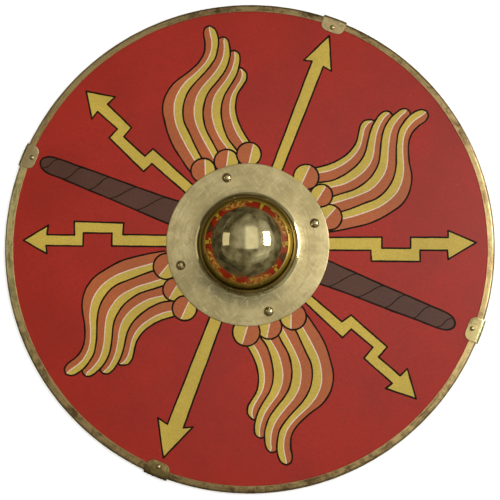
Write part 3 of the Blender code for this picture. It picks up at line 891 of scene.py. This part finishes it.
class Kit:
    """Short ways to build the nodes of a new material, given by its name, or of the world."""

    def __init__(self, owner, place="Object"):
        self.owner = bpy.data.materials.new(owner) if isinstance(owner, str) else owner
        self.owner.use_nodes = True
        self.nodes = self.owner.node_tree.nodes
        self.place = self.add("TexCoord", {})[place]
        self.x, self.y, self.z = self.add("SeparateXYZ", {0: self.place})

    def add(self, kind, inputs, **settings):
        """Adds a node with its inputs, which are values or links, and gives its outputs."""
        node = set_up(self.nodes.new("ShaderNode" + kind), **settings)
        self.put(node, inputs)
        return node.outputs

    def put(self, node, inputs):
        """Sets or links inputs of a node, which are given by number or name."""
        for key, value in inputs.items():
            socket = node.inputs[key]
            if isinstance(value, bpy.types.NodeSocket):
                self.owner.node_tree.links.new(value, socket)
            elif socket.type == "RGBA":
                socket.default_value = (*value, 1.0)
            else:
                socket.default_value = value

    def noise(self, scale, detail=3.0, rough=0.5, distortion=0.0, place=None):
        return self.add("TexNoise", {"Vector": place or self.place, "Scale": scale, "Detail": detail,
                                     "Roughness": rough, "Distortion": distortion})["Fac"]

    def math(self, operation, first, second=0.0):
        return self.add("Math", {0: first, 1: second}, operation=operation)[0]

    def times(self, first, second):
        return self.math("MULTIPLY", first, second)

    def plus(self, first, second):
        return self.math("ADD", first, second)

    def total(self, first, first_share, second, second_share):
        """Two values, each times its share."""
        return self.plus(self.times(first, first_share), self.times(second, second_share))

    def remap(self, value, low, high, to_low=0.0, to_high=1.0):
        inputs = {"Value": value, "From Min": low, "From Max": high, "To Min": to_low, "To Max": to_high}
        return self.add("MapRange", inputs, interpolation_type="SMOOTHSTEP")["Result"]

    def mix(self, share, first, second):
        return self.add("Mix", {0: share, 6: first, 7: second}, data_type="RGBA")[2]

    def over(self, base, colour, mark, low, high, share=1.0):
        """Lays a colour over another where a mark is strong."""
        return self.mix(self.remap(mark, low, high, 0.0, share), base, colour)

    def streaks(self, detail, scale, turn=0.0, distortion=0.0):
        """Noise of marks that run in one direction: the place is turned about Z and then stretched."""
        place = self.add("Mapping", {"Vector": self.place, "Rotation": (0.0, 0.0, turn)})[0]
        place = self.add("Mapping", {"Vector": place, "Scale": scale})[0]
        return self.noise(1.0, detail, 0.6, distortion, place)

    def polar(self, around, outward):
        """Place as angle and distance from the middle, for marks that run round the axis."""
        angle = self.math("ARCTAN2", self.y, self.x)
        return self.add("CombineXYZ", {0: self.times(angle, around), 1: self.times(self.radius(), outward),
                                       2: self.times(self.z, outward)})[0]

    def radius(self):
        square = self.plus(self.math("POWER", self.x, 2.0), self.math("POWER", self.y, 2.0))
        return self.math("SQRT", square)

    def bump(self, height, strength, distance, below=None):
        """Bumps from a height, on top of other bumps if there are some."""
        inputs = {"Height": height, "Strength": strength, "Distance": distance}
        if below:
            inputs["Normal"] = below
        return self.add("Bump", inputs)["Normal"]

    def finish(self, colour, roughness, more):
        self.put(self.nodes["Principled BSDF"], {"Base Color": colour, "Roughness": roughness, **more})
        return self.owner


def paint_material(name, colour, roughness, streaks, specks, gloss=0.2):
    """Brushed paint: cloudy thickness, brush streaks, fine tooth and small worn specks."""
    kit = Kit(name)
    cloud = kit.noise(11.0, 4.0, 0.6)
    brushed = kit.streaks(3.0, (55.0, 420.0, 90.0), 0.35)
    tooth = kit.noise(460.0, 3.0, 0.7)
    base = kit.over(scaled(colour, 0.92), scaled(colour, 1.15), cloud, 0.3, 0.7)
    base = kit.over(base, scaled(colour, 1.45), brushed, 0.35, 0.75, streaks)
    base = kit.over(base, scaled(colour, 0.55), tooth, 0.34, 0.70, 0.42)
    base = kit.over(base, (0.30, 0.22, 0.15), kit.noise(260.0, 2.0), 0.72, 0.80, specks)
    shine = kit.remap(cloud, 0.3, 0.7, roughness - 0.05, roughness + 0.06)
    height = kit.total(brushed, 0.7, tooth, 0.4)
    return kit.finish(base, shine, {"Normal": kit.bump(height, 0.40, 0.00020), "Specular IOR Level": gloss})


def plywood_material():
    """Bare varnished plywood: long grain across the back, dark and pale growth lines."""
    kit = Kit("bare_plywood")
    grain = kit.streaks(5.0, (7.0, 130.0, 60.0), 0.0, 0.6)
    fibre = kit.streaks(2.0, (60.0, 1500.0, 700.0))
    base = kit.over((0.42, 0.26, 0.13), (0.25, 0.135, 0.06), grain, 0.32, 0.68)
    base = kit.over(base, (0.16, 0.085, 0.04), fibre, 0.35, 0.7, 0.35)
    base = kit.over(base, (0.47, 0.31, 0.16), kit.noise(6.0), 0.35, 0.7, 0.3)
    shine = kit.remap(grain, 0.3, 0.7, 0.42, 0.58)
    return kit.finish(base, shine, {"Normal": kit.bump(kit.total(grain, 0.6, fibre, 0.5), 0.4, 0.00020)})


def grip_material():
    """Oiled hardwood with its grain along the bar, darker where the hand holds it."""
    kit = Kit("grip_wood")
    lie = -math.radians(GRIP_DIRECTION)
    grain = kit.streaks(4.0, (14.0, 190.0, 190.0), lie, 0.8)
    fibre = kit.streaks(2.0, (110.0, 2100.0, 2100.0), lie)
    handled = kit.remap(kit.radius(), 0.020, 0.050, 0.45, 0.0)
    base = kit.over((0.30, 0.165, 0.075), (0.15, 0.072, 0.032), grain, 0.32, 0.68)
    base = kit.over(base, (0.085, 0.04, 0.02), fibre, 0.4, 0.7, 0.4)
    base = kit.mix(handled, base, (0.12, 0.056, 0.026))
    shine = kit.math("SUBTRACT", kit.remap(grain, 0.3, 0.7, 0.45, 0.6), kit.times(handled, 0.3))
    return kit.finish(base, shine, {"Normal": kit.bump(kit.total(grain, 0.6, fibre, 0.4), 0.4, 0.00018)})


def boss_material():
    """Brass, polished on the dome, scuffed and tarnished on the flange, darkest along its lower side; the
    darkening of the flange's sides and of its foot is partly painted shade, and the dome's dark foot is
    painted shade.
    """
    kit = Kit("boss_brass")
    radius = kit.radius()
    flange = kit.remap(radius, 0.0632, 0.0662)
    lower = kit.remap(kit.plus(kit.y, kit.times(kit.x, 0.25)), -0.025, -0.065)
    upper = kit.remap(kit.y, 0.020, 0.070)
    near_foot = kit.remap(radius, 0.084, 0.068)
    cloud = kit.noise(34.0, 4.0, 0.62, 0.4)
    blotch = kit.noise(95.0, 4.0, 0.65, 0.8)
    fine = kit.noise(330.0, 3.0, 0.6, 0.5)
    rings = kit.noise(1.0, 3.0, 0.6, 0.0, kit.polar(3.0, 900.0))
    arcs = kit.noise(1.0, 3.0, 0.6, 0.7, kit.polar(1.6, 260.0))
    rubs = kit.streaks(3.0, (60.0, 700.0, 300.0), 0.9)
    cross = kit.streaks(2.0, (55.0, 800.0, 300.0), -0.7)
    # Dark stains by the foot on the lower side, partly painted shade cast by the dome
    stain_and_shade = kit.times(kit.times(lower, near_foot), kit.remap(blotch, 0.34, 0.52))
    dulled = kit.over((0.44, 0.355, 0.17), (0.68, 0.565, 0.30), cloud, 0.32, 0.68)
    dulled = kit.over(dulled, (0.29, 0.23, 0.105), blotch, 0.50, 0.72, 0.40)
    # Flange darker on its upper and lower sides: tarnish tones that are partly painted shade, away from the
    # right-hand light
    dulled = kit.mix(kit.times(upper, 0.42), dulled, (0.32, 0.26, 0.125))
    dulled = kit.over(dulled, (0.33, 0.27, 0.13), arcs, 0.52, 0.66, 0.40)
    dulled = kit.mix(kit.times(lower, 0.42), dulled, (0.26, 0.215, 0.10))
    dulled = kit.mix(kit.times(stain_and_shade, 0.65), dulled, (0.15, 0.14, 0.075))
    dulled = kit.over(dulled, (0.82, 0.72, 0.48), rubs, 0.58, 0.70, 0.35)
    dulled = kit.over(dulled, (0.84, 0.75, 0.52), cross, 0.60, 0.72, 0.30)
    dulled = kit.over(dulled, (0.27, 0.22, 0.10), fine, 0.60, 0.75, 0.35)
    # The dome's foot darkened: painted shade, standing for its dark reflection of the shaded flange
    foot = kit.times(kit.remap(radius, 0.0500, 0.0530), kit.remap(radius, 0.0650, 0.0620))
    polished = kit.over((0.66, 0.56, 0.29), (0.74, 0.64, 0.36), cloud, 0.3, 0.7)
    polished = kit.mix(kit.times(foot, 0.55), polished, (0.27, 0.22, 0.085))
    smooth = kit.remap(blotch, 0.35, 0.75, 0.045, 0.08)
    rough = kit.remap(cloud, 0.3, 0.7, 0.36, 0.50)
    shine = kit.plus(kit.times(flange, kit.math("SUBTRACT", rough, smooth)), smooth)
    scratch = kit.times(kit.plus(rings, rubs), kit.remap(radius, 0.060, 0.070, 0.04, 0.6))
    depth = kit.plus(kit.remap(radius, 0.060, 0.074, 0.02, 0.9), kit.times(stain_and_shade, 1.4))
    dents = kit.times(kit.noise(70.0, 2.0), depth)
    return kit.finish(kit.mix(flange, polished, dulled), shine, {
        "Normal": kit.bump(dents, 0.5, 0.0009, kit.bump(scratch, 0.35, 0.00006)),
        "Metallic": kit.remap(flange, 0.0, 1.0, 1.0, 0.76),
        "Specular Tint": (0.27, 0.24, 0.165),
    })


def aged_brass_material(name, pale, dark, tarnish, roughness, dents, lip=None, brighter_side_and_highlight=None):
    """Aged brass: bright scuffed metal with brown tarnish, scratches, shallow dents, dark patches by the lip
    and a painted highlight along it, and a lighter side where one is given.
    """
    kit = Kit(name)
    cloud = kit.noise(45.0, 4.0, 0.6, 0.5)
    blotch = kit.noise(170.0, 4.0, 0.65, 0.6)
    rubs = kit.streaks(3.0, (120.0, 900.0, 500.0), 0.8)
    tone = kit.total(cloud, 0.6, blotch, 0.4)
    base = kit.over(pale, dark, tone, 0.62 - 0.3 * tarnish, 0.80 - 0.3 * tarnish)
    base = kit.over(base, scaled(pale, 1.2), rubs, 0.55, 0.80, 0.35)
    # A lighter side: on the strips lighter towards one end, on the last clip a painted highlight along its
    # outer fold
    if brighter_side_and_highlight:
        (east, north), start, end, share = brighter_side_and_highlight
        base = kit.over(base, scaled(pale, 1.9), kit.total(kit.x, east, kit.y, north), start, end, share)
    if lip:
        patches = kit.noise(1.0, 4.0, 0.65, 0.5, kit.polar(14.0, 420.0))
        base = kit.over(base, scaled(dark, 0.50), patches, 0.50, 0.68, 0.65)
        # Painted highlight along the inner lip, lighter towards its edge
        base = kit.over(base, scaled(pale, 1.35), kit.radius(), lip + 0.0015, lip + 0.0004, 0.45)
    shine = kit.remap(tone, 0.40, 0.65, roughness - 0.06, roughness + 0.12)
    normal = kit.bump(cloud, 0.5, dents, kit.bump(rubs, 0.3, 0.00006))
    return kit.finish(base, shine, {"Normal": normal, "Metallic": 1.0})


# Stage, lights and camera

def add_stage(name, shape, material, **settings):
    """Makes a shape part of the studio, which the brass doesn't mirror."""
    mesh = bpy.data.meshes.new(name)
    shape.to_mesh(mesh)
    shape.free()
    mesh.materials.append(material)
    set_up(add_object(name, mesh), visible_glossy=False, **settings)


def make_floor():
    kit = Kit("pale_floor")
    base = kit.over((0.94, 0.94, 0.94), (0.96, 0.96, 0.96), kit.noise(3.0), 0.3, 0.7)
    shape = bmesh.new()
    bmesh.ops.create_circle(shape, cap_ends=True, segments=64, radius=9.0)
    bmesh.ops.translate(shape, vec=(0.0, 0.0, -0.0002), verts=shape.verts)
    normal = kit.bump(kit.noise(160.0, 2.0), 0.1, 0.0002)
    add_stage("studio_floor", shape, kit.finish(base, 0.9, {"Normal": normal}))


def make_backdrop():
    """Pale wall far behind, seen by the camera alone so that it lights nothing."""
    shape = bmesh.new()
    bmesh.ops.create_cone(shape, cap_ends=False, segments=64, radius1=8.9, radius2=8.9, depth=12.0)
    bmesh.ops.translate(shape, vec=(0.0, 0.0, 5.99), verts=shape.verts)
    glow = {"Emission Color": (0.93, 0.93, 0.92), "Emission Strength": 0.9}
    material = Kit("pale_backdrop").finish((0.0, 0.0, 0.0), 0.5, glow)
    add_stage("studio_backdrop", shape, material, visible_diffuse=False, visible_transmission=False,
              visible_shadow=False)


def look_at(item, target, direction, distance):
    """Sets a lamp or the camera at a distance from its target, facing it."""
    facing = Vector(direction).normalized()
    side = Vector((0.0, 1.0, 0.0)).cross(facing).normalized()
    turn = Matrix((side, facing.cross(side), facing)).transposed().to_4x4()
    item.matrix_world = Matrix.Translation(Vector(target) + facing * distance) @ turn


def add_panel(name, direction, distance, width, height, radiance, colour, **settings):
    """A rectangular light that faces the shield, with the given brightness of its surface."""
    energy = radiance * math.pi * width * height
    lamp = bpy.data.lights.new(name, "AREA")
    set_up(lamp, shape="RECTANGLE", size=width, size_y=height, energy=energy, color=colour)
    panel = set_up(add_object(name, lamp), visible_camera=False, **settings)
    look_at(panel, (0.0, 0.0, 0.05), direction, distance)


def make_lights():
    """Two windows, of which the right one only shines, and a soft light from above that never mirrors."""
    add_panel("window_right", (0.796, 0.130, 0.591), 1.6, 0.46, 0.86, 14.0, (1.0, 0.98, 0.93),
              visible_diffuse=False)
    add_panel("window_left", (-0.796, 0.110, 0.591), 1.6, 0.52, 0.80, 0.72, (1.0, 0.96, 0.80))
    add_panel("soft_fill", (0.15, 0.0, 1.0), 2.4, 2.4, 2.4, 3.85, (1.0, 0.997, 0.993), visible_glossy=False)


# What the dome mirrors, on a level ceiling one unit up: x and y from, to; soft edge; brightness
ROOM_PATCHES = (
    (-0.62, 0.66, -0.34, 0.60, 0.22, 0.22),
    (-0.04, 0.60, -0.36, 0.80, 0.09, 0.46),
    (-0.50, 0.60, 0.40, 1.70, 0.40, 0.14),
    (-0.10, 0.45, 1.30, 4.20, 0.50, 0.13),
    (-2.60, 2.30, -1.45, -0.55, 0.16, 0.09),
    (-0.10, 0.42, -4.50, -1.30, 0.12, 0.07),
    (1.10, 3.20, 0.70, 2.60, 0.60, 0.22),
    (0.80, 2.40, -1.90, -0.60, 0.50, 0.18),
    (0.62, 1.40, -0.90, 1.20, 0.22, 0.24),
    (1.50, 4.20, -1.00, 0.90, 0.50, 0.24),
    (-2.60, -2.35, 1.50, 4.60, 0.12, 0.25),
    (-1.10, -0.60, -0.20, 0.90, 0.20, 0.07),
)


def make_world():
    """The dim room that the polished dome mirrors, with soft pale patches overhead."""
    world = bpy.context.scene.world or bpy.data.worlds.new("studio_world")
    bpy.context.scene.world = world
    kit = Kit(world, "Generated")
    height = kit.math("MAXIMUM", kit.z, 0.05)
    right = kit.math("DIVIDE", kit.x, height)
    up = kit.math("DIVIDE", kit.y, height)
    light = kit.remap(kit.z, 0.0, 0.80, 0.070, 0.115)
    light = kit.times(light, kit.remap(kit.noise(3.4), 0.30, 0.70, 0.45, 1.7))
    light = kit.times(light, kit.remap(kit.x, -0.4, 0.9, 1.0, 2.0))
    for left_end, right_end, low_end, high_end, soft, brightness in ROOM_PATCHES:
        patch = kit.times(kit.remap(right, left_end - soft, left_end + soft),
                          kit.remap(right, right_end - soft, right_end + soft, 1.0, 0.0))
        patch = kit.times(patch, kit.remap(up, low_end - soft * 0.4, low_end + soft * 0.4))
        patch = kit.times(patch, kit.remap(up, high_end - 2 * soft, high_end + 2 * soft, 1.0, 0.0))
        light = kit.plus(light, kit.times(patch, brightness))
    colour = kit.over((1.0, 0.90, 0.60), (1.0, 0.98, 0.88), light, 0.04, 0.45)
    kit.put(kit.nodes["Background"], {"Color": colour, "Strength": light})


def make_camera():
    lens = bpy.data.cameras.new("photo_camera")
    camera = add_object("photo_camera", set_up(lens, sensor_width=36.0, lens=CAMERA_LENS, clip_start=0.02))
    look_at(camera, (*AIM, face_height(0.0)), CAMERA_DIRECTION, CAMERA_DISTANCE)
    bpy.context.scene.camera = camera


# Each paint in the order of its number: name, colour, roughness, streaks, specks and gloss
PAINTS = (
    ("paint_red", (0.241, 0.0124, 0.0058), 0.46, 0.10, 0.20),
    ("paint_ochre", (0.385, 0.277, 0.043), 0.48, 0.14, 0.25),
    ("paint_orange", (0.295, 0.076, 0.0225), 0.48, 0.12, 0.20),
    ("paint_pale", (0.53, 0.40, 0.31), 0.50, 0.10, 0.15),
    ("paint_brown", (0.060, 0.0245, 0.0155), 0.46, 0.10, 0.10),
    ("paint_black", (0.0105, 0.0048, 0.0020), 0.42, 0.10, 0.05, 0.07),
)

# Each strip's tone, and the side where it is lighter: direction, start, end and strength
EDGING = (
    (0.88, ((-1.0, 0.0), 0.02, 0.22, 0.75)),
    (1.50, ((0.0, 1.0), -0.20, 0.05, 0.45)),
    (1.30, ((1.0, 0.0), 0.08, 0.26, 0.15)),
    (0.86, ((0.0, -1.0), -0.18, 0.00, 0.22)),
)

# Each clip's colour, and for the last one its outer fold, lightened as a painted highlight
CLIPS = (
    ((0.50, 0.385, 0.20), None),
    ((0.60, 0.46, 0.245), None),
    ((0.345, 0.25, 0.10), None),
    ((0.70, 0.57, 0.27), ((0.936, -0.352), 0.3008, 0.3032, 0.75)),
)


def main():
    bpy.context.scene.view_settings.view_transform = "Standard"
    make_board([paint_material(*paint) for paint in PAINTS] + [plywood_material()])
    make_boss(boss_material())
    make_rivets(aged_brass_material("rivet_brass", (0.56, 0.46, 0.26), (0.24, 0.17, 0.08), 0.4, 0.14, 0.0002))
    make_strips([
        aged_brass_material(f"edging_brass_{index + 1}", scaled((0.45, 0.33, 0.155), tone),
                            scaled((0.145, 0.090, 0.043), tone), 0.6, 0.36, 0.0006,
                            STRIP_INNER - STRIP_REACHES[index], brighter_side_and_highlight)
        for index, (tone, brighter_side_and_highlight) in enumerate(EDGING)])
    make_clips([
        aged_brass_material(f"clip_brass_{index + 1}", pale, scaled(pale, 0.44), 0.45, 0.26, 0.0005,
                            brighter_side_and_highlight=brighter_side_and_highlight)
        for index, (pale, brighter_side_and_highlight) in enumerate(CLIPS)])
    make_pins(aged_brass_material("pin_brass", (0.50, 0.41, 0.21), (0.20, 0.15, 0.07), 0.3, 0.36, 0.0002))
    make_grip(grip_material())
    make_floor()
    make_backdrop()
    make_world()
    make_lights()
    make_camera()


main()
